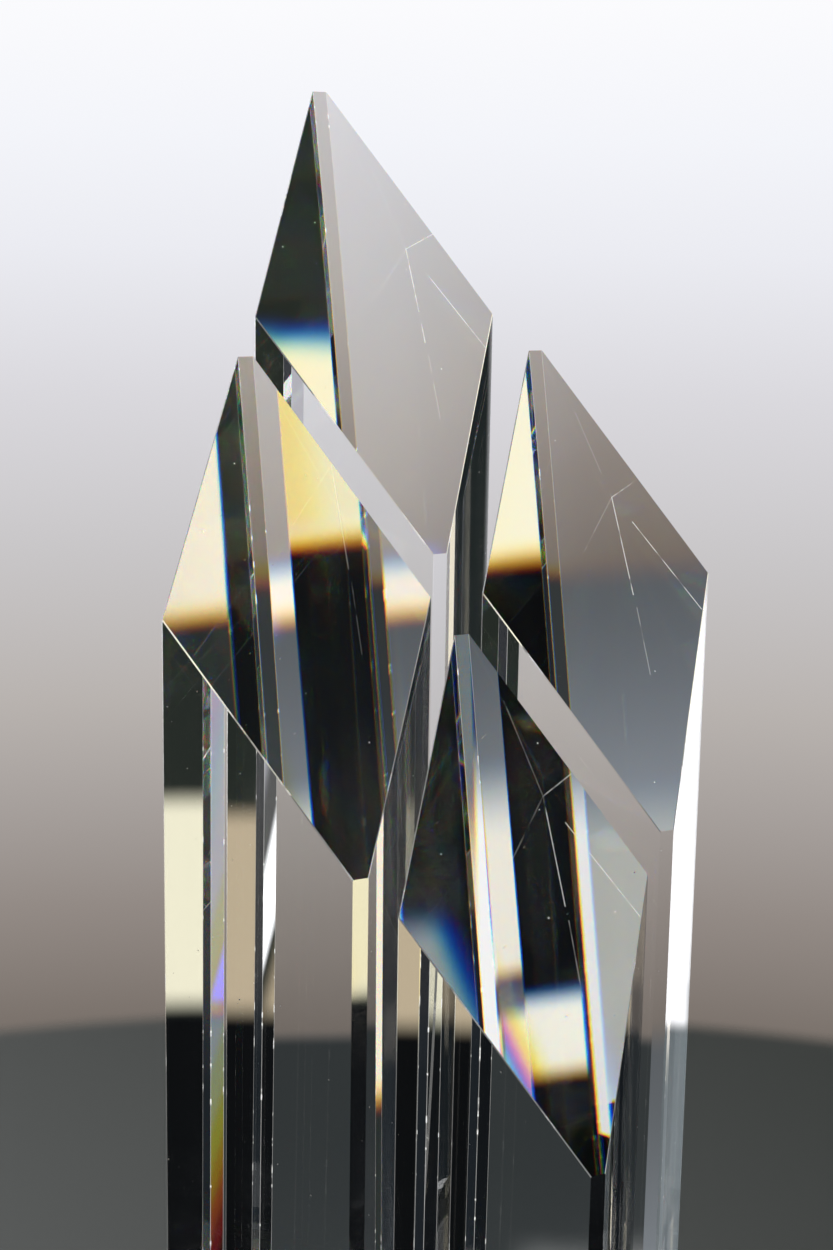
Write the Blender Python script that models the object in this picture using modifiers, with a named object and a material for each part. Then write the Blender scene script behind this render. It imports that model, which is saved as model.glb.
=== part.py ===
"""Crystal award: four square towers of clear optical crystal, each cut off by one steep diagonal facet,
bonded upright on a bevelled crystal base that stands on four clear feet.

Metres, +Z up. The origin is on the ground under the middle of the base, and -Y is the front."""

import math

import bmesh
import bpy
from mathutils import Matrix, Vector

INCH = 0.0254
MESH_GAP = 0.0003  # clearance kept between pieces that touch on the real award

# Towers: square stock, upright
TOWER_SIDE = 1.5 * INCH
TOP_TILT = math.radians(60)  # the top facet's angle from level, falling straight along the plan diagonal
EDGE_CHAMFER = 0.0022  # leg of the 45 degree flat on a tower's back and front edges
ARRIS = 0.00025  # width of the polished flat that takes the sharpness off every other edge
ARRIS_MIN_ANGLE = math.radians(48)  # edges that turn less than this are left crisp

# Each tower stands in a two by two group. Its place is its centre, from the middle of the group.
# The group is set by hand, so places and turns differ slightly from a true grid.
PITCH = 0.0445
TOWERS = {
    # name: (place in pitches, setting error in metres, turn about +Z in degrees, height to its uncut back corner)
    "tower_back": ((-0.5, 0.5), (-0.0007, -0.0006), 1.1, 11 * INCH),
    "tower_left": ((-0.5, -0.5), (-0.0013, -0.0004), -1.3, 9 * INCH),
    "tower_right": ((0.5, 0.5), (0.0006, 0.0004), 0.2, 9 * INCH),
    "tower_front": ((0.5, -0.5), (-0.0028, 0.0020), 0.0, 7 * INCH),
}

# Adhesive: one thin film under each tower
FILM_THICKNESS = 0.0002
FILM_INSET = 0.0006  # how far the film stops short of the tower's sides

# Base: one square slab
BASE_SIDE = 5 * INCH
BASE_HEIGHT = 1 * INCH
BASE_CORNER = 0.003  # leg of the flat on each upright corner
BASE_BEVEL = 0.005  # leg of the bevel round the top

# Feet: clear bumpers
FOOT_RADIUS = 0.006
FOOT_HEIGHT = 0.003
FOOT_ROUNDING = 0.0008
FOOT_INSET = 0.014  # from the base's sides to a foot's centre
FOOT_SIDES = 48

BASE_BOTTOM = FOOT_HEIGHT + MESH_GAP
BASE_TOP = BASE_BOTTOM + BASE_HEIGHT
FILM_BOTTOM = BASE_TOP + MESH_GAP
TOWER_BOTTOM = FILM_BOTTOM + FILM_THICKNESS + MESH_GAP

# Surfaces
CRYSTAL_COLOUR = (0.96, 0.975, 0.97, 1.0)
CRYSTAL_IOR = 1.517
ADHESIVE_COLOUR = (0.98, 0.98, 0.95, 1.0)
ADHESIVE_IOR = 1.50
BUMPER_COLOUR = (0.86, 0.87, 0.87, 1.0)
BUMPER_IOR = 1.45


def clear_scene():
    for thing in list(bpy.data.objects):
        bpy.data.objects.remove(thing, do_unlink=True)


def new_collection(name):
    collection = bpy.data.collections.new(name)
    bpy.context.scene.collection.children.link(collection)
    return collection


def clear_material(name, colour, ior, roughness):
    """A see-through Principled material."""
    material = bpy.data.materials.new(name)
    material.use_nodes = True
    shader = material.node_tree.nodes["Principled BSDF"]
    shader.inputs["Base Color"].default_value = colour
    shader.inputs["Metallic"].default_value = 0.0
    shader.inputs["Roughness"].default_value = roughness
    shader.inputs["IOR"].default_value = ior
    shader.inputs["Transmission Weight"].default_value = 1.0
    return material


def block_mesh(side, height, corner_edges, corner_leg):
    """A square block on the plane z = 0, with 45 degree flats on the upright edges that corner_edges picks.

    corner_edges is given the signs of an edge's x and y, and says whether that edge gets a flat."""
    bm = bmesh.new()
    bmesh.ops.create_cube(bm, size=1.0)
    bmesh.ops.scale(bm, vec=(side, side, height), verts=bm.verts)
    bmesh.ops.translate(bm, vec=(0, 0, height / 2), verts=bm.verts)
    chosen = []
    for edge in bm.edges:
        low, high = (vert.co for vert in edge.verts)
        middle = (low + high) / 2
        upright = abs(low.z - high.z) > height / 2
        if upright and corner_edges(math.copysign(1, middle.x), math.copysign(1, middle.y)):
            chosen.append(edge)
    bmesh.ops.bevel(bm, geom=chosen, offset=corner_leg, offset_type="OFFSET", segments=1, affect="EDGES")
    return bm


def finish_mesh(bm, name):
    mesh = bpy.data.meshes.new(name)
    bm.to_mesh(mesh)
    bm.free()
    return mesh


def add_object(name, mesh, collection, material, parent, place, turn=0.0):
    thing = bpy.data.objects.new(name, mesh)
    thing.parent = parent
    thing.location = place
    thing.rotation_euler = (0, 0, turn)
    if material:
        mesh.materials.append(material)
    collection.objects.link(thing)
    return thing


def add_arris(thing):
    """Takes the sharpness off the thing's edges with one narrow flat."""
    bevel = thing.modifiers.new("arris", "BEVEL")
    bevel.offset_type = "WIDTH"
    bevel.width = ARRIS
    bevel.segments = 1
    bevel.limit_method = "ANGLE"
    bevel.angle_limit = ARRIS_MIN_ANGLE


def facet_cutter(name, tower, apex_height, collection):
    """A block whose underside lies in the tower's top facet, which falls from the back corner to the front one."""
    reach = 3 * TOWER_SIDE
    bm = bmesh.new()
    bmesh.ops.create_cube(bm, size=1.0)
    bmesh.ops.scale(bm, vec=(2 * reach, 2 * reach, reach), verts=bm.verts)
    bmesh.ops.translate(bm, vec=(0, 0, reach / 2), verts=bm.verts)
    downhill = Vector((1, -1, 0)).normalized()
    tip = Matrix.Rotation(TOP_TILT, 4, Vector((0, 0, 1)).cross(downhill))
    bmesh.ops.transform(bm, matrix=tip, verts=bm.verts)
    # The facet is placed by the height of the uncut back corner, half a diagonal uphill of the middle
    half_drop = math.tan(TOP_TILT) * TOWER_SIDE / math.sqrt(2)
    cutter = add_object(name, finish_mesh(bm, name), collection, None, tower, (0, 0, apex_height - half_drop))
    cutter.hide_render = True
    cutter.display_type = "WIRE"
    return cutter


def tower_place(grid, error):
    return Vector((grid[0] * PITCH + error[0], grid[1] * PITCH + error[1]))


def make_tower(name, spec, collection, cutters, material, parent):
    grid, error, turn, apex_height = spec
    bm = block_mesh(TOWER_SIDE, apex_height + ARRIS, lambda x, y: x != y, EDGE_CHAMFER)
    place = tower_place(grid, error).to_3d() + Vector((0, 0, TOWER_BOTTOM))
    tower = add_object(name, finish_mesh(bm, name), collection, material, parent, place, math.radians(turn))
    cut = tower.modifiers.new("top_facet", "BOOLEAN")
    cut.operation = "DIFFERENCE"
    cut.solver = "EXACT"
    cut.object = facet_cutter(name + "_facet_cutter", tower, apex_height, cutters)
    add_arris(tower)
    return tower


def make_film(name, spec, collection, material, parent):
    grid, error, turn, _ = spec
    bm = block_mesh(TOWER_SIDE - 2 * FILM_INSET, FILM_THICKNESS, lambda x, y: x != y, EDGE_CHAMFER)
    place = tower_place(grid, error).to_3d() + Vector((0, 0, FILM_BOTTOM))
    return add_object(name, finish_mesh(bm, name), collection, material, parent, place, math.radians(turn))


def make_base(collection, material, parent):
    bm = block_mesh(BASE_SIDE, BASE_HEIGHT, lambda x, y: True, BASE_CORNER)
    top_edges = [edge for edge in bm.edges if all(vert.co.z > BASE_HEIGHT * 0.99 for vert in edge.verts)]
    bmesh.ops.bevel(bm, geom=top_edges, offset=BASE_BEVEL, offset_type="OFFSET", segments=1, affect="EDGES")
    base = add_object("base_slab", finish_mesh(bm, "base_slab"), collection, material, parent, (0, 0, BASE_BOTTOM))
    add_arris(base)
    return base


def make_foot(name, x_sign, y_sign, collection, material, parent):
    bm = bmesh.new()
    bmesh.ops.create_cone(
        bm, cap_ends=True, segments=FOOT_SIDES, radius1=FOOT_RADIUS, radius2=FOOT_RADIUS, depth=FOOT_HEIGHT
    )
    bmesh.ops.translate(bm, vec=(0, 0, FOOT_HEIGHT / 2), verts=bm.verts)
    rim = [edge for edge in bm.edges if all(vert.co.z < FOOT_HEIGHT / 2 for vert in edge.verts)]
    bmesh.ops.bevel(
        bm, geom=rim, offset=FOOT_ROUNDING, offset_type="OFFSET", segments=3, profile=0.5, affect="EDGES"
    )
    mesh = finish_mesh(bm, name)
    mesh.shade_smooth()
    mesh.set_sharp_from_angle(angle=math.radians(40))
    reach = BASE_SIDE / 2 - FOOT_INSET
    return add_object(name, mesh, collection, material, parent, (x_sign * reach, y_sign * reach, 0))


def main():
    clear_scene()
    parts = new_collection("crystal_award")
    cutters = new_collection("cutters")
    award = bpy.data.objects.new("award_origin", None)
    parts.objects.link(award)

    crystal = clear_material("optical_crystal", CRYSTAL_COLOUR, CRYSTAL_IOR, 0.0)
    adhesive = clear_material("clear_adhesive", ADHESIVE_COLOUR, ADHESIVE_IOR, 0.05)
    bumper = clear_material("clear_bumper", BUMPER_COLOUR, BUMPER_IOR, 0.3)

    make_base(parts, crystal, award)
    for name, spec in TOWERS.items():
        make_tower(name, spec, parts, cutters, crystal, award)
        make_film(name.replace("tower", "bond_film"), spec, parts, adhesive, award)
    for end, y_sign in (("front", -1), ("back", 1)):
        for hand, x_sign in (("left", -1), ("right", 1)):
            make_foot(f"foot_{end}_{hand}", x_sign, y_sign, parts, bumper, award)
    bpy.context.view_layer.update()


main()
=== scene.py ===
"""Looks of the crystal award: optical crystal with dispersion in a soft backlit studio."""

import math

import bmesh
import bpy
from mathutils import Matrix, Vector


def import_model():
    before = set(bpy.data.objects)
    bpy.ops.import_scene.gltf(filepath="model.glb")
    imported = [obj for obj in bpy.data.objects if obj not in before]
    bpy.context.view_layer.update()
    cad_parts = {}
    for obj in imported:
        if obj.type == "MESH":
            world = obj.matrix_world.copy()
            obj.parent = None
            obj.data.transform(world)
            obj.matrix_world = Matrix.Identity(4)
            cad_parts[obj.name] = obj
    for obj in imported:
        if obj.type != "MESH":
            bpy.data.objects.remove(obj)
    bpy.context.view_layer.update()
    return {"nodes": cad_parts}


# Camera: where it stands and how it is held
CAMERA_PLACE = Vector((0.0935, -0.3663, 0.2821))
CAMERA_AZIMUTH = 15.486  # degrees round from straight in front, towards +X
CAMERA_DIP = 11.479  # degrees below level
CAMERA_ROLL = 0.937  # degrees
LENS_MM = 58.53
SENSOR_MM = 36.0
CLIP_START = 0.01

# Studio: azimuths are degrees to the right of where the camera points, heights are metres over the table
TABLE_RADIUS = 0.50
TABLE_REACH = 0.320  # how far the table goes on behind the award
TABLE_FADE = 0.018  # width of the soft far edge
TABLE_SEGMENTS = 256
NEAR_TABLE_RADIUS = 0.115
NEAR_TABLE_DROP = 0.0005  # how far it lies under the table that the camera sees
NEAR_TABLE_SEGMENTS = 128
TABLE_COLOUR = (0.66, 0.67, 0.68)
TABLE_ROUGHNESS = 0.5
TABLE_SHINE = 0.0  # a matt top, so that only the lights give its tone
SURROUND_RADIUS = 0.85
SURROUND_SEGMENTS = 180
SURROUND_BOTTOM = -1.1
SURROUND_TOP = 0.9
LIFT_AZIMUTHS = (-18, -30)  # the surround grows brighter from the first to the second and stays so
LIFT = 0.12  # it is then painted as the backdrop is this much higher up
BACKDROP_STOPS = (  # height, colour
    (-0.30, (0.14, 0.12, 0.105)),
    (-0.219, (0.20, 0.172, 0.152)),
    (-0.146, (0.29, 0.255, 0.235)),
    (-0.079, (0.385, 0.352, 0.335)),
    (-0.015, (0.48, 0.448, 0.428)),
    (0.079, (0.58, 0.565, 0.575)),
    (0.175, (0.70, 0.69, 0.725)),
    (0.26, (0.83, 0.835, 0.885)),
    (0.325, (0.90, 0.91, 0.955)),
    (0.41, (0.97, 0.97, 0.99)),
)
ROOM_DARK = (0.020, 0.025, 0.020)
BLACK = (0.003, 0.003, 0.003)
# Boards and shades on the surround: azimuths from and to, heights from and to,
# half the width of the soft edge across and up, colour. Later ones cover earlier ones.
BOARDS = (
    ("room", 20.5, 200, -2, 2, 0.6, 0.01, ROOM_DARK),
    # The table rows paint the table as the crystal sees it, in painted light and shade: lighter to the left,
    # darker in the middle and far to the left, and painted black shade to the right.
    ("table_left", -200, 20.5, -2, -0.232, 0.6, 0.014, (0.115, 0.125, 0.135)),
    ("table_mid", -14, 20.5, -2, -0.226, 0.6, 0.006, (0.036, 0.041, 0.042)),
    ("table_far_left", -200, -39.5, -2, -0.262, 0.6, 0.009, (0.025, 0.031, 0.028)),
    ("left_board", -50, -38, -0.262, 2, 0.6, 0.012, (1.22, 1.12, 0.90)),
    ("left_line", -39, -27.5, -0.247, -0.212, 0.6, 0.011, (1.15, 1.05, 0.92)),
    ("left_glow", -40, -13, -2, -0.40, 1.0, 0.17, (0.34, 0.37, 0.41)),
    ("mid_glow", -13, 20.5, -2, -0.46, 1.0, 0.20, (0.075, 0.08, 0.085)),
    ("glow_mid", -26.5, -17.5, -2, -0.44, 1.0, 0.04, (0.52, 0.53, 0.50)),
    ("low_glow", -40, -26.5, -2, -0.41, 1.0, 0.04, (1.1, 1.04, 0.92)),
    ("low_streak", -33.4, -32.5, -2, -0.41, 0.4, 0.04, (0.10, 0.10, 0.12)),
    ("low_gap", -40, -26.5, -0.615, -0.572, 1.0, 0.012, (0.10, 0.09, 0.12)),
    ("low_glow_right", 5, 20.5, -2, -0.40, 1.0, 0.05, (1.0, 1.0, 1.0)),
    ("lilac_board", 20.5, 24.0, -0.218, 2, 0.5, 0.007, (0.50, 0.49, 0.54)),
    ("grey_gap", 24.0, 24.9, -0.218, 2, 0.3, 0.007, (0.12, 0.12, 0.12)),
    ("strip_light", 24.8, 25.95, -0.218, 0.3, 0.2, 0.007, (2.0, 2.0, 2.05)),
    ("strip_foot", 20.5, 26.0, -0.5, -0.218, 0.5, 0.007, (0.25, 0.29, 0.31)),
    ("strip_foot_warm", 26.0, 26.6, -0.5, -0.218, 0.3, 0.007, (0.22, 0.12, 0.03)),
    # painted black shade where the crystal sees the table to the right
    ("table_in_painted_black_shade", 26.6, 200, -2, -0.222, 0.6, 0.006, BLACK),
    ("band_cream", 26.6, 34, -0.218, -0.088, 0.6, 0.011, (0.60, 0.49, 0.34)),
    ("band_white", 34, 64, -0.214, -0.080, 0.8, 0.011, (1.05, 1.0, 0.77)),
    ("band_pale", 55.5, 66, -0.212, -0.077, 2.0, 0.012, (1.1, 1.0, 0.66)),
    ("band_yellow", 58.2, 66, -0.212, -0.072, 1.0, 0.012, (1.08, 0.85, 0.32)),
    ("room_right", 61.5, 200, -0.222, 2, 0.8, 0.01, ROOM_DARK),
    ("low_right", 63.0, 70, -2, -0.515, 0.6, 0.02, (0.36, 0.39, 0.41)),
    ("low_stripe", 50, 61.2, -0.680, -0.600, 0.6, 0.014, (1.15, 1.12, 1.0)),
    ("behind_right", 95, 200, -2, 2, 10, 0.05, (0.012, 0.015, 0.019)),
    ("behind_left", -200, -100, -2, 2, 10, 0.05, (0.010, 0.014, 0.018)),
)
TOP_LIGHT_WATTS = 0.28
TOP_LIGHT_WIDTH = 0.7
TOP_LIGHT_HEIGHT = 1.2
SIDE_LIGHT_WATTS = 0.6
SIDE_LIGHT_WIDTH = 0.4
SIDE_LIGHT_HEIGHT = 0.5
SIDE_LIGHT_REACH = 0.45  # how far to the left of the award it hangs

# Crystal
TOP_TILT = math.radians(60)  # the top facet's angle from level
ACROSS = math.sin(TOP_TILT) / math.sqrt(2)
FACET_NORMAL = Vector((ACROSS, -ACROSS, math.cos(TOP_TILT)))
FACING = 0.999  # a face whose normal is this near to a direction faces that way
DIAGONAL = 1.41  # just under the square root of 2, the difference of x and y along a diagonal
TOWERS = {  # place of the axis, turn about +Z in degrees, height of the top facet's middle
    "tower_back": ((-0.02295, 0.02165), 1.1, 0.2622),
    "tower_left": ((-0.02355, -0.02265), -1.3, 0.2114),
    "tower_right": ((0.02285, 0.02265), 0.2, 0.2114),
    "tower_front": ((0.01945, -0.02025), 0.0, 0.1606),
}
CHAMFER_HALF_WIDTH = 0.001556
# Chips and a thin ground rim along the chamfer's sides, which glow with a painted glint.
CHIP_REACH = 0.00018  # how far chips come in from the sides of a chamfer
CHIP_SIZE = 0.0030
CHIP_NOISE = (0.60, 0.68)
RIM_WIDTH = 0.00009
RIM_AND_GLINT_STRENGTH = 0.35
COLOURED_CHAMFERS = ("tower_left",)  # towers whose back chamfer shows the spectrum
# The facet lines below are fine scratches that also glow with a painted glint; their strength is that of the
# glint too.
FACET_FLAWS_AND_GLINTS = {  # how far the lines are moved across and down this tower's facet, how strong they are
    "tower_back": (0.0019, 0.0030, 1.0),
    "tower_left": (0.0040, -0.0100, 0.25),
    "tower_right": (0.0, 0.0, 1.0),
    "tower_front": (0.0, 0.0, 0.8),
}
FACET_LINES = (  # start and end across and down the facet from its middle, strength
    ((0.0085, -0.0175), (0.0072, 0.0034), 0.5),
    ((0.0072, 0.0060), (0.0060, 0.0200), 0.2),
    ((0.0118, -0.0120), (0.0226, 0.0077), 0.5),
    ((0.0085, -0.0175), (0.0159, -0.0210), 0.35),
    ((0.0085, -0.0175), (0.0053, -0.0366), 0.12),
    ((0.0085, -0.0175), (-0.0020, -0.0060), 0.12),
)
LINE_HALF_WIDTH = 0.00011
LINE_GAP_SIZE = 0.004  # the lines fade in and out in patches of about this size
LINE_GAP_NOISE = (0.30, 0.52)
DUST_SPACING = 0.0035
DUST_RADIUS = 0.00016
DUST_SHARE = 0.4
DUST_ROUGHNESS = 0.7
# how strongly the dust shows on the top facets, its painted glint included
DUST_AND_GLINT_STRENGTH = 0.8
SPECK_SIZES = (0.3, 1.0)  # smallest and largest, as shares of a speck's full radius

CRYSTAL_IOR = 1.517
CRYSTAL_TINTS = ((0.985, 0.995, 0.988), (1.0, 1.0, 1.0))
TINT_SCALE = 18.0
TINT_NOISE = (0.35, 0.65)

# Ground crystal: fine flaws, and the narrow flats on the edges.
# Its glow is a painted glint, standing for the strong light that it catches.
FLAW_COLOUR = (0.95, 0.95, 0.93)
FLAW_ROUGHNESS = 1.2
FLAW_CLEARNESS = 0.4
FLAW_GLINT_COLOUR = (1.0, 0.99, 0.96)
FLAW_GLINT = 1.0
EDGE_COLOURS = ((0.86, 0.88, 0.87), (1.0, 1.0, 1.0))  # sound, chipped
EDGE_ROUGHNESS = (0.12, 0.5)
# the painted glint on the edge flats: its colour, and its strength on sound and on chipped crystal
EDGE_GLINT_COLOUR = (1.0, 0.99, 0.97)
EDGE_GLINT = (0.16, 0.45)
EDGE_GRAIN_SCALE = 130.0
EDGE_GRAIN_DETAIL = 3.0
EDGE_CHIP_NOISE = (0.55, 0.70)
EDGE_GRAIN_DEPTH = 0.0001
GRAIN_STRENGTH = 0.3

# Adhesive
ADHESIVE_IOR = 1.50
ADHESIVE_COLOURS = ((0.98, 0.98, 0.95), (0.9, 0.9, 0.88))  # clear, bubble
ADHESIVE_ROUGHNESS = (0.03, 0.5)
BUBBLE_SPACING = 0.0022
BUBBLE_RADIUS = 0.0005
BUBBLE_SHARE = 0.3

# Bumper feet
BUMPER_IOR = 1.45
BUMPER_COLOURS = ((0.80, 0.82, 0.83), (0.92, 0.93, 0.93))
BUMPER_ROUGHNESS = (0.22, 0.38)
BUMPER_CLEARNESS = 0.85
BUMPER_HAZE_SCALE = 160.0
BUMPER_HAZE_NOISE = (0.3, 0.7)
BUMPER_GRAIN_SCALE = 900.0
BUMPER_GRAIN_DEPTH = 0.00005

LIGHT_BOUNCES = 32

# The spectrum from red to violet: how far the IOR lies from CRYSTAL_IOR, and the share of all the red, green
# and blue light
SPECTRUM = (
    (-0.016, (0.55, 0.00, 0.02)),
    (-0.008, (0.35, 0.35, 0.00)),
    (-0.001, (0.10, 0.42, 0.04)),
    (0.010, (0.00, 0.21, 0.38)),
    (0.024, (0.00, 0.02, 0.56)),
)


def heading(azimuth):
    """A level unit vector that many degrees to the right of where the camera points."""
    turn = math.radians(azimuth - CAMERA_AZIMUTH)
    return Vector((math.sin(turn), math.cos(turn), 0))


def make_camera():
    data = bpy.data.cameras.new("camera")
    data.lens = LENS_MM
    data.sensor_width = SENSOR_MM
    data.clip_start = CLIP_START
    camera = bpy.data.objects.new("camera", data)
    bpy.context.scene.collection.objects.link(camera)
    turn = Matrix.Rotation(math.radians(CAMERA_AZIMUTH), 4, "Z")
    tip = Matrix.Rotation(math.radians(90 - CAMERA_DIP), 4, "X")
    roll = Matrix.Rotation(math.radians(CAMERA_ROLL), 4, "Z")
    camera.matrix_world = Matrix.Translation(CAMERA_PLACE) @ turn @ tip @ roll
    bpy.context.scene.camera = camera


class Nodes:
    """Short ways to add shader nodes to one tree."""

    def __init__(self, tree):
        self.tree = tree
        tree.nodes.clear()

    def add(self, kind, **settings):
        node = self.tree.nodes.new(kind)
        for key, value in settings.items():
            setattr(node, key, value)
        return node

    def put(self, socket, value):
        if isinstance(value, bpy.types.NodeSocket):
            self.tree.links.new(value, socket)
        elif value is not None:
            socket.default_value = value

    def math(self, operation, first, second=None, clamp=False):
        node = self.add("ShaderNodeMath", operation=operation, use_clamp=clamp)
        self.put(node.inputs[0], first)
        self.put(node.inputs[1], second)
        return node.outputs[0]

    def span(self, value, low, high, smooth=True, to=(0.0, 1.0)):
        """0 to 1 as value goes from low to high."""
        node = self.add("ShaderNodeMapRange", interpolation_type="SMOOTHSTEP" if smooth else "LINEAR")
        for socket, number in zip(node.inputs[:5], (value, low, high, *to)):
            self.put(socket, number)
        return node.outputs[0]

    def mix(self, factor, first, second):
        node = self.add("ShaderNodeMix", data_type="RGBA")
        self.put(node.inputs["Factor"], factor)
        self.put(node.inputs[6], first)
        self.put(node.inputs[7], second)
        return node.outputs[2]


def rgba(colour):
    return (*colour, 1.0)


def new_material(name):
    """An empty material and its nodes."""
    material = bpy.data.materials.new(name)
    material.use_nodes = True
    return material, Nodes(material.node_tree)


def object_place(n):
    """The place on the object, in metres. The CAD nodes all share one origin, so it runs on between them."""
    return n.add("ShaderNodeTexCoord").outputs["Object"]


def show(n, shader):
    """Make this shader the surface."""
    n.put(n.add("ShaderNodeOutputMaterial").inputs["Surface"], shader)


def noise(n, place, scale, detail=None):
    texture = n.add("ShaderNodeTexNoise")
    n.put(texture.inputs["Vector"], place)
    texture.inputs["Scale"].default_value = scale
    n.put(texture.inputs["Detail"], detail)
    return texture.outputs["Fac"]


def bumped(n, shader, height, depth):
    """Give a shader a fine relief."""
    bump = n.add("ShaderNodeBump")
    bump.inputs["Strength"].default_value = GRAIN_STRENGTH
    bump.inputs["Distance"].default_value = depth
    n.put(bump.inputs["Height"], height)
    n.put(shader.inputs["Normal"], bump.outputs[0])


def backdrop_ramp(n, height):
    """The plain backdrop's colour at a height on the surround."""
    low, high = BACKDROP_STOPS[0][0], BACKDROP_STOPS[-1][0]
    ramp = n.add("ShaderNodeValToRGB")
    stops = ramp.color_ramp.elements
    while len(stops) < len(BACKDROP_STOPS):
        stops.new(0.5)
    for stop, (place, colour) in zip(stops, BACKDROP_STOPS):
        stop.position = (place - low) / (high - low)
        stop.color = rgba(colour)
    n.put(ramp.inputs[0], n.span(height, low, high, smooth=False))
    return ramp.outputs["Color"]


def turned_parts(n, vector):
    """A vector's right, forward and up parts as seen from the camera."""
    turned = n.add("ShaderNodeVectorRotate", rotation_type="Z_AXIS")
    n.put(turned.inputs["Vector"], vector)
    turned.inputs["Angle"].default_value = -math.radians(CAMERA_AZIMUTH)
    parts = n.add("ShaderNodeSeparateXYZ")
    n.put(parts.inputs[0], turned.outputs[0])
    return parts.outputs


def make_world():
    """The camera sees one plain backdrop all round, bright above and grey below.

    Everything else sees a dim room.
    """
    world = bpy.data.worlds.new("studio")
    bpy.context.scene.world = world
    world.use_nodes = True
    n = Nodes(world.node_tree)
    right, forward, up = turned_parts(n, n.add("ShaderNodeTexCoord").outputs["Generated"])
    squares = n.math("ADD", n.math("MULTIPLY", right, right), n.math("MULTIPLY", forward, forward))
    level = n.math("SQRT", squares)
    reach = SURROUND_RADIUS + CAMERA_PLACE.xy.length
    height = n.math("ADD", n.math("MULTIPLY", n.math("DIVIDE", up, level), reach), CAMERA_PLACE.z)
    seen = n.add("ShaderNodeLightPath").outputs["Is Camera Ray"]
    glow = n.add("ShaderNodeBackground")
    n.put(glow.inputs["Color"], n.mix(seen, rgba(ROOM_DARK), backdrop_ramp(n, height)))
    out = n.add("ShaderNodeOutputWorld")
    n.put(out.inputs["Surface"], glow.outputs[0])


def surround_material():
    """Glows with the backdrop, and with the boards over it, among them the table in painted light and shade.
    """
    material, n = new_material("surround")
    right, forward, up = turned_parts(n, n.add("ShaderNodeNewGeometry").outputs["Position"])
    azimuth = n.math("MULTIPLY", n.math("ARCTAN2", right, forward), 180 / math.pi)
    lift = n.math("MULTIPLY", n.span(azimuth, *LIFT_AZIMUTHS), LIFT)
    colour = backdrop_ramp(n, n.math("ADD", up, lift))
    for _, left, right_end, low, high, soft_across, soft_up, paint in BOARDS:
        across = n.math(
            "MULTIPLY",
            n.span(azimuth, left - soft_across, left + soft_across),
            n.span(azimuth, right_end + soft_across, right_end - soft_across),
        )
        upright = n.math(
            "MULTIPLY",
            n.span(up, low - soft_up, low + soft_up),
            n.span(up, high + soft_up, high - soft_up),
        )
        colour = n.mix(n.math("MULTIPLY", across, upright), colour, rgba(paint))
    glow = n.add("ShaderNodeEmission")
    n.put(glow.inputs["Color"], colour)
    show(n, glow.outputs[0])
    return material


def stage_object(name, bm, material):
    mesh = bpy.data.meshes.new(name)
    bm.to_mesh(mesh)
    bm.free()
    mesh.materials.append(material)
    thing = bpy.data.objects.new(name, mesh)
    bpy.context.scene.collection.objects.link(thing)
    return thing


def table_material(name, faded):
    """Plain, pale and matt, with a soft far edge where asked."""
    material, n = new_material(name)
    top = n.add("ShaderNodeBsdfPrincipled")
    top.inputs["Base Color"].default_value = rgba(TABLE_COLOUR)
    top.inputs["Roughness"].default_value = TABLE_ROUGHNESS
    top.inputs["Specular IOR Level"].default_value = TABLE_SHINE
    if not faded:
        show(n, top.outputs[0])
        return material
    reach = n.add("ShaderNodeVectorMath", operation="DISTANCE")
    n.put(reach.inputs[0], object_place(n))
    reach.inputs[1].default_value = heading(0) * (TABLE_REACH - TABLE_RADIUS)
    blend = n.add("ShaderNodeMixShader")
    n.put(blend.inputs[0], n.span(reach.outputs["Value"], TABLE_RADIUS - TABLE_FADE, TABLE_RADIUS))
    n.put(blend.inputs[1], top.outputs[0])
    n.put(blend.inputs[2], n.add("ShaderNodeBsdfTransparent").outputs[0])
    show(n, blend.outputs[0])
    return material


def round_top(name, radius, segments, place, material):
    bm = bmesh.new()
    bmesh.ops.create_circle(bm, cap_ends=True, segments=segments, radius=radius)
    bmesh.ops.translate(bm, vec=place, verts=bm.verts)
    return stage_object(name, bm, material)


def make_table():
    """A wide table for the camera, and the part close under the award that the crystal sees.

    The crystal sees no more of it, so that its edges stay dark and crisp.
    """
    middle = heading(0) * (TABLE_REACH - TABLE_RADIUS)
    material = table_material("pale_table", True)
    table = round_top("table", TABLE_RADIUS, TABLE_SEGMENTS, middle, material)
    table.visible_transmission = False
    table.visible_glossy = False
    drop = (0, 0, -NEAR_TABLE_DROP)
    material = table_material("near_table", False)
    near = round_top("near_table", NEAR_TABLE_RADIUS, NEAR_TABLE_SEGMENTS, drop, material)
    near.visible_camera = False


def make_surround():
    """A glowing wall round the award, seen only in and through the award itself."""
    bm = bmesh.new()
    bmesh.ops.create_cone(
        bm,
        cap_ends=False,
        segments=SURROUND_SEGMENTS,
        radius1=SURROUND_RADIUS,
        radius2=SURROUND_RADIUS,
        depth=SURROUND_TOP - SURROUND_BOTTOM,
    )
    bmesh.ops.translate(bm, vec=(0, 0, (SURROUND_TOP + SURROUND_BOTTOM) / 2), verts=bm.verts)
    surround = stage_object("surround", bm, surround_material())
    surround.visible_camera = False
    surround.visible_diffuse = False
    surround.visible_shadow = False


def make_light(name, watts, width, place):
    light = bpy.data.lights.new(name, "AREA")
    light.shape = "DISK"
    light.size = width
    light.energy = watts
    lamp = bpy.data.objects.new(name, light)
    lamp.location = place
    bpy.context.scene.collection.objects.link(lamp)
    return lamp


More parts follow.
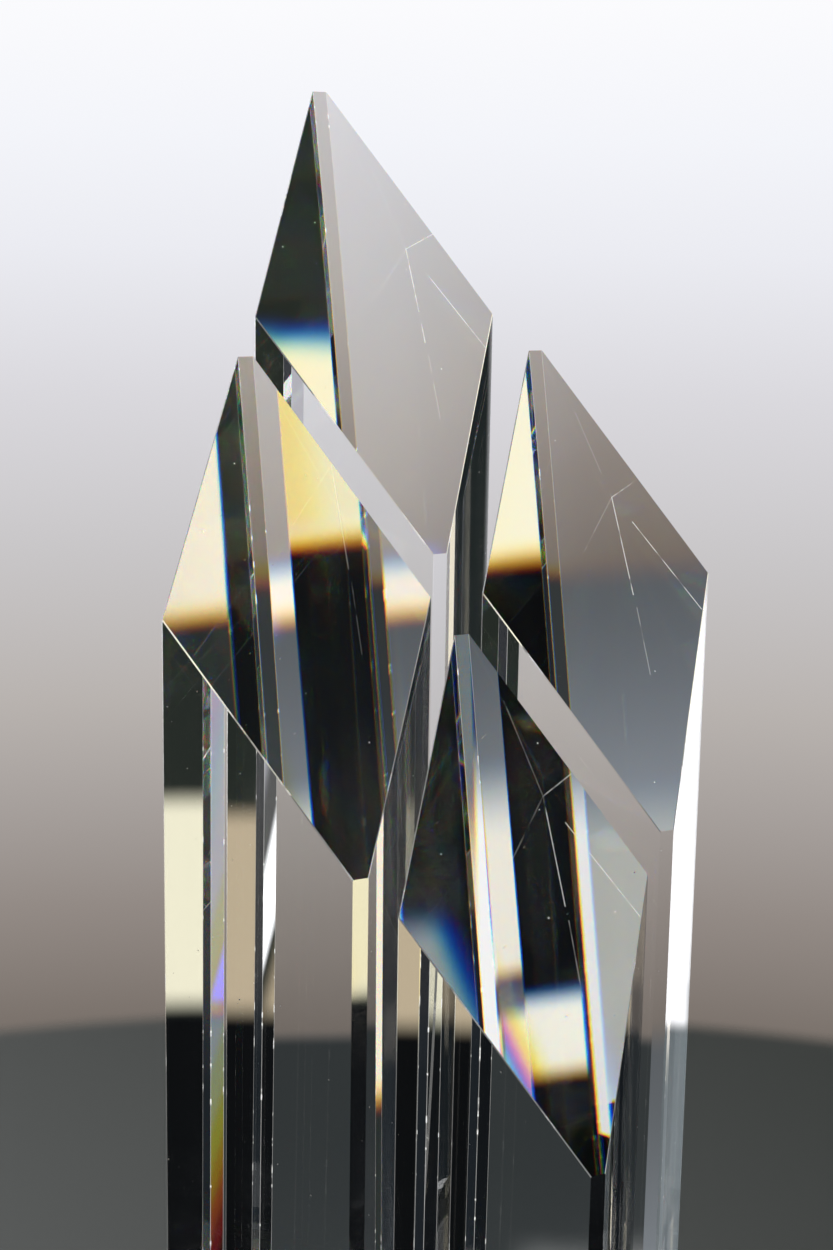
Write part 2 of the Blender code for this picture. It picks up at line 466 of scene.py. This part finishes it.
def make_lights():
    """A wide soft light overhead, and a lower one on the left that is there for the table."""
    make_light("top_light", TOP_LIGHT_WATTS, TOP_LIGHT_WIDTH, (0, 0, TOP_LIGHT_HEIGHT))
    place = heading(-90) * SIDE_LIGHT_REACH + Vector((0, 0, SIDE_LIGHT_HEIGHT))
    side = make_light("side_light", SIDE_LIGHT_WATTS, SIDE_LIGHT_WIDTH, place)
    side.visible_camera = False
    side.visible_glossy = False
    side.visible_transmission = False


def make_studio():
    make_world()
    make_table()
    make_surround()
    make_lights()


def specks(n, place, spacing, radius, share):
    """1 on small round specks, strewn one to a cell of the given spacing, on a share of the cells."""
    cells = n.add("ShaderNodeTexVoronoi", feature="F1")
    n.put(cells.inputs["Vector"], place)
    cells.inputs["Scale"].default_value = 1 / spacing
    parts = n.add("ShaderNodeSeparateColor")
    n.put(parts.inputs[0], cells.outputs["Color"])
    share_of_radius = n.span(parts.outputs[0], 0, 1, smooth=False, to=SPECK_SIZES)
    size = n.math("MULTIPLY", share_of_radius, radius / spacing)
    dot = n.math("LESS_THAN", cells.outputs["Distance"], size)
    return n.math("MULTIPLY", dot, n.math("LESS_THAN", parts.outputs[1], share))


def line(n, across, along, start, end, half_width):
    """1 on the straight line from start to end in a plane with the given coordinates."""
    run = Vector(end) - Vector(start)
    step = run.normalized()
    first = n.math("SUBTRACT", across, start[0])
    second = n.math("SUBTRACT", along, start[1])
    reach = n.math("ADD", n.math("MULTIPLY", first, step.x), n.math("MULTIPLY", second, step.y))
    off = n.math("SUBTRACT", n.math("MULTIPLY", first, step.y), n.math("MULTIPLY", second, step.x))
    thin = n.math("LESS_THAN", n.math("ABSOLUTE", off), half_width)
    from_middle = n.math("ABSOLUTE", n.math("SUBTRACT", reach, run.length / 2))
    return n.math("MULTIPLY", thin, n.math("LESS_THAN", from_middle, run.length / 2))


def broken(n, place, size, limits):
    """0 to 1 in patches of about the given size."""
    return n.span(noise(n, place, 1 / size), *limits)


def tower_axes(n, place, spec):
    """Coordinates in a tower's own plan, and height over the middle of its top facet."""
    (x, y), turn, top = spec
    moved = n.add("ShaderNodeMapping", vector_type="TEXTURE")
    n.put(moved.inputs["Vector"], place)
    moved.inputs["Location"].default_value = (x, y, top)
    moved.inputs["Rotation"].default_value = (0, 0, math.radians(turn))
    parts = n.add("ShaderNodeSeparateXYZ")
    n.put(parts.inputs[0], moved.outputs[0])
    return parts.outputs


def dust(n, place):
    return specks(n, place, DUST_SPACING, DUST_RADIUS, DUST_SHARE)


def crystal_material(name):
    """Polished clear crystal with a little dust and a trace of green in its thickness."""
    material, n = new_material(name)
    place = object_place(n)
    cloud = n.span(noise(n, place, TINT_SCALE), *TINT_NOISE)
    green, clear = CRYSTAL_TINTS
    shader = n.add("ShaderNodeBsdfPrincipled")
    n.put(shader.inputs["Base Color"], n.mix(cloud, rgba(green), rgba(clear)))
    n.put(shader.inputs["Roughness"], n.math("MULTIPLY", dust(n, place), DUST_ROUGHNESS))
    shader.inputs["IOR"].default_value = CRYSTAL_IOR
    shader.inputs["Transmission Weight"].default_value = 1.0
    show(n, shader.outputs[0])
    return material


def ground_edge_with_glint_material(name):
    """The narrow flats on the edges: fine ground crystal, whiter and rougher where it has chipped, with a
    painted glint all along that is stronger where it has chipped.
    """
    material, n = new_material(name)
    place = object_place(n)
    grain = noise(n, place, EDGE_GRAIN_SCALE, EDGE_GRAIN_DETAIL)
    chips_and_glints = n.span(grain, *EDGE_CHIP_NOISE)
    sound, chipped = EDGE_COLOURS
    shader = n.add("ShaderNodeBsdfPrincipled")
    n.put(shader.inputs["Base Color"], n.mix(chips_and_glints, rgba(sound), rgba(chipped)))
    n.put(shader.inputs["Roughness"], n.span(chips_and_glints, 0, 1, smooth=False, to=EDGE_ROUGHNESS))
    shader.inputs["IOR"].default_value = CRYSTAL_IOR
    shader.inputs["Transmission Weight"].default_value = 1.0
    # painted glint, stronger where the edge has chipped
    shader.inputs["Emission Color"].default_value = rgba(EDGE_GLINT_COLOUR)
    n.put(shader.inputs["Emission Strength"], n.span(chips_and_glints, 0, 1, smooth=False, to=EDGE_GLINT))
    bumped(n, shader, grain, EDGE_GRAIN_DEPTH)
    show(n, shader.outputs[0])
    return material


def adhesive_material(name):
    """A clear film with a few fine bubbles trapped in it."""
    material, n = new_material(name)
    place = object_place(n)
    bubbles = specks(n, place, BUBBLE_SPACING, BUBBLE_RADIUS, BUBBLE_SHARE)
    clear, bubble = ADHESIVE_COLOURS
    shader = n.add("ShaderNodeBsdfPrincipled")
    n.put(shader.inputs["Base Color"], n.mix(bubbles, rgba(clear), rgba(bubble)))
    n.put(shader.inputs["Roughness"], n.span(bubbles, 0, 1, smooth=False, to=ADHESIVE_ROUGHNESS))
    shader.inputs["IOR"].default_value = ADHESIVE_IOR
    shader.inputs["Transmission Weight"].default_value = 1.0
    show(n, shader.outputs[0])
    return material


def bumper_material(name):
    """Soft clear plastic, slightly milky, with a fine moulded grain."""
    material, n = new_material(name)
    place = object_place(n)
    grain = noise(n, place, BUMPER_GRAIN_SCALE)
    haze = noise(n, place, BUMPER_HAZE_SCALE)
    dark, light = BUMPER_COLOURS
    shader = n.add("ShaderNodeBsdfPrincipled")
    n.put(shader.inputs["Base Color"], n.mix(haze, rgba(dark), rgba(light)))
    n.put(shader.inputs["Roughness"], n.span(haze, *BUMPER_HAZE_NOISE, to=BUMPER_ROUGHNESS))
    shader.inputs["IOR"].default_value = BUMPER_IOR
    shader.inputs["Transmission Weight"].default_value = BUMPER_CLEARNESS
    bumped(n, shader, grain, BUMPER_GRAIN_DEPTH)
    show(n, shader.outputs[0])
    return material


def clear_glass(n, ior, colour=(1.0, 1.0, 1.0)):
    glass = n.add("ShaderNodeBsdfGlass")
    glass.inputs["Color"].default_value = rgba(colour)
    glass.inputs["Roughness"].default_value = 0.0
    glass.inputs["IOR"].default_value = ior
    return glass.outputs[0]


def spectral_glass(n):
    """Crystal that spreads white light into colours, as one glass shader for each part of the spectrum."""
    shader = None
    for i, (step, shares) in enumerate(SPECTRUM):
        glass = clear_glass(n, CRYSTAL_IOR + step, [share * len(SPECTRUM) for share in shares])
        if shader is None:
            shader = glass
            continue
        blend = n.add("ShaderNodeMixShader")
        blend.inputs[0].default_value = 1 / (i + 1)
        n.put(blend.inputs[1], shader)
        n.put(blend.inputs[2], glass)
        shader = blend.outputs[0]
    return shader


def show_flawed_and_glinting(n, flaws_and_glints, polished):
    """Make a polished shader the surface, with fine ground crystal on the flawed spots, which glow there
    with a painted glint.
    """
    ground = n.add("ShaderNodeBsdfPrincipled")
    ground.inputs["Base Color"].default_value = rgba(FLAW_COLOUR)
    n.put(ground.inputs["Roughness"], n.math("MULTIPLY", flaws_and_glints, FLAW_ROUGHNESS, clamp=True))
    ground.inputs["IOR"].default_value = CRYSTAL_IOR
    ground.inputs["Transmission Weight"].default_value = FLAW_CLEARNESS
    # painted glint: the flawed spots glow as if they caught a strong light
    ground.inputs["Emission Color"].default_value = rgba(FLAW_GLINT_COLOUR)
    ground.inputs["Emission Strength"].default_value = FLAW_GLINT
    over = n.add("ShaderNodeMixShader")
    n.put(over.inputs[0], flaws_and_glints)
    n.put(over.inputs[1], polished)
    n.put(over.inputs[2], ground.outputs[0])
    show(n, over.outputs[0])


def facet_material(name, spec, flaw_and_glint_spec):
    """A top facet: dust, and a few fine lines left by polishing, both with a painted glint."""
    material, n = new_material(name)
    place = object_place(n)
    x, y, _ = tower_axes(n, place, spec)
    move_across, move_down, share = flaw_and_glint_spec
    level = n.math("DIVIDE", n.math("ADD", x, y), math.sqrt(2))
    across = n.math("SUBTRACT", level, move_across)
    slope = n.math("DIVIDE", n.math("SUBTRACT", x, y), math.sqrt(2) * math.cos(TOP_TILT))
    down = n.math("SUBTRACT", slope, move_down)
    patches = broken(n, place, LINE_GAP_SIZE, LINE_GAP_NOISE)
    # dust and lines, both painted to glint
    flaws_and_glints = n.math("MULTIPLY", dust(n, place), DUST_AND_GLINT_STRENGTH)
    for start, end, strength in FACET_LINES:
        mark = line(n, across, down, start, end, LINE_HALF_WIDTH)
        faint = n.math("MULTIPLY", n.math("MULTIPLY", mark, patches), strength * share)
        flaws_and_glints = n.math("MAXIMUM", flaws_and_glints, faint)
    show_flawed_and_glinting(n, flaws_and_glints, spectral_glass(n))
    return material


def chamfer_material(name, spec, spectral):
    """The flat on a tower's back edge, with small chipped spots and a thin ground rim along both sides, both
    with a painted glint.
    """
    material, n = new_material(name)
    place = object_place(n)
    x, y, _ = tower_axes(n, place, spec)
    across = n.math("ABSOLUTE", n.math("DIVIDE", n.math("ADD", x, y), math.sqrt(2)))
    rim = n.math("GREATER_THAN", across, CHAMFER_HALF_WIDTH - CHIP_REACH)
    chips_and_glints = n.math("MULTIPLY", rim, broken(n, place, CHIP_SIZE, CHIP_NOISE))
    thin_rim = n.math("GREATER_THAN", across, CHAMFER_HALF_WIDTH - RIM_WIDTH)
    # chipped spots and rim, both painted to glint
    flaws_and_glints = n.math("MAXIMUM", chips_and_glints, n.math("MULTIPLY", thin_rim, RIM_AND_GLINT_STRENGTH))
    show_flawed_and_glinting(n, flaws_and_glints, spectral_glass(n) if spectral else clear_glass(n, CRYSTAL_IOR))
    return material


def tower_slot(normal, turn):
    """Which of a tower's materials a face gets.

    0 is the polished crystal of the sides, the bottom and the front chamfer, 1 the top facet, 2 the back
    chamfer and 3 the ground edges.
    """
    local = Matrix.Rotation(-turn, 3, "Z") @ normal
    if FACET_NORMAL.dot(local) > FACING:
        return 1
    if local.y - local.x > DIAGONAL:
        return 2
    if local.x - local.y > DIAGONAL or max(abs(part) for part in local) > FACING:
        return 0
    return 3


def dress(frame):
    """Give every CAD node its materials."""
    crystal = crystal_material("crystal")
    edge = ground_edge_with_glint_material("glinting_ground_edge")
    adhesive = adhesive_material("adhesive")
    bumper = bumper_material("bumper")
    for name, node in frame["nodes"].items():
        materials = node.data.materials
        materials.clear()
        if name in TOWERS:
            spec = TOWERS[name]
            materials.append(crystal)
            materials.append(facet_material("facet_" + name, spec, FACET_FLAWS_AND_GLINTS[name]))
            materials.append(chamfer_material("chamfer_" + name, spec, name in COLOURED_CHAMFERS))
            materials.append(edge)
            for polygon in node.data.polygons:
                polygon.material_index = tower_slot(polygon.normal, math.radians(spec[1]))
        elif name.startswith("bond"):
            materials.append(adhesive)
        elif name.startswith("foot"):
            materials.append(bumper)
        else:
            materials.append(crystal)


def main():
    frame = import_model()
    scene = bpy.context.scene
    scene.view_settings.view_transform = "Standard"
    for kind in ("max_bounces", "glossy_bounces", "transmission_bounces"):
        setattr(scene.cycles, kind, LIGHT_BOUNCES)
    make_camera()
    make_studio()
    dress(frame)


main()
